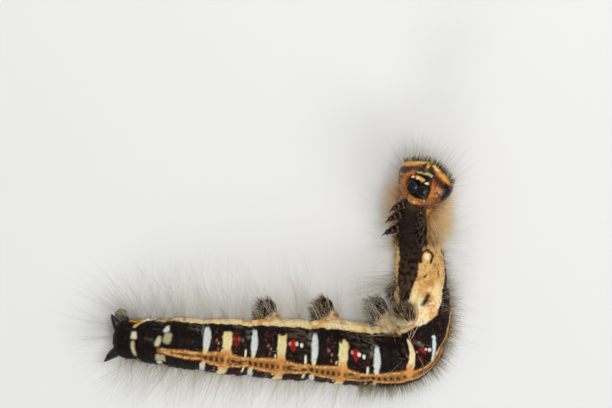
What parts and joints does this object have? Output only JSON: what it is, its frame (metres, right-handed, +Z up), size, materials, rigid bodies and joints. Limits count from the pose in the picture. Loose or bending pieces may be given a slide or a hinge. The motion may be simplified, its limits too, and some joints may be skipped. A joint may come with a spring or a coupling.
{
  "type": "common duffer larva",
  "caption": "Life-size hairy banded butterfly larva, bent at mid body, its front rolled over and its head raised.",
  "frame": {"origin": "middle of the bounding box at floor level, under the soles", "axes": "+X from the tail along the rear of the body, +Y to the larva's left and to its head, +Z up"},
  "size_m": [0.0424, 0.0358, 0.0117],
  "materials": {
    "banded_skin": "soft skin, near black with white and cream stripes, under long hair",
    "proleg_flesh": "soft cream flesh with brown hair",
    "leg_cuticle": "glossy dark brown cuticle",
    "head_capsule": "glossy amber cuticle",
    "lip": "satin golden cuticle",
    "jaw": "glossy black cuticle",
    "feeler": "satin cream cuticle",
    "eye": "glossy black domes",
    "horn": "satin black cuticle"
  },
  "bodies": {
    "root": {"abdomen_1": "banded_skin", "abdomen_2": "banded_skin", "abdomen_3": "banded_skin", "abdomen_4": "banded_skin", "abdomen_5": "banded_skin", "abdomen_6": "banded_skin", "abdomen_7": "banded_skin", "abdomen_8": "banded_skin", "abdomen_9": "banded_skin", "anal_segment": "banded_skin", "antenna_left": "feeler", "antenna_right": "feeler", "eye_left": "eye", "eye_right": "eye", "head": "head_capsule", "labium": "head_capsule", "labrum": "lip", "leg_mesothorax_left": "leg_cuticle", "leg_mesothorax_right": "leg_cuticle", "leg_metathorax_left": "leg_cuticle", "leg_metathorax_right": "leg_cuticle", "leg_prothorax_left": "leg_cuticle", "leg_prothorax_right": "leg_cuticle", "mandible_left": "jaw", "mandible_right": "jaw", "mesothorax": "banded_skin", "metathorax": "banded_skin", "proleg_a3_left": "proleg_flesh", "proleg_a3_right": "proleg_flesh", "proleg_a4_left": "proleg_flesh", "proleg_a4_right": "proleg_flesh", "proleg_a5_left": "proleg_flesh", "proleg_a5_right": "proleg_flesh", "proleg_a6_left": "proleg_flesh", "proleg_a6_right": "proleg_flesh", "proleg_anal_left": "proleg_flesh", "proleg_anal_right": "proleg_flesh", "prothorax": "banded_skin", "tail_horn_left": "horn", "tail_horn_right": "horn"}
  },
  "joints": []
}
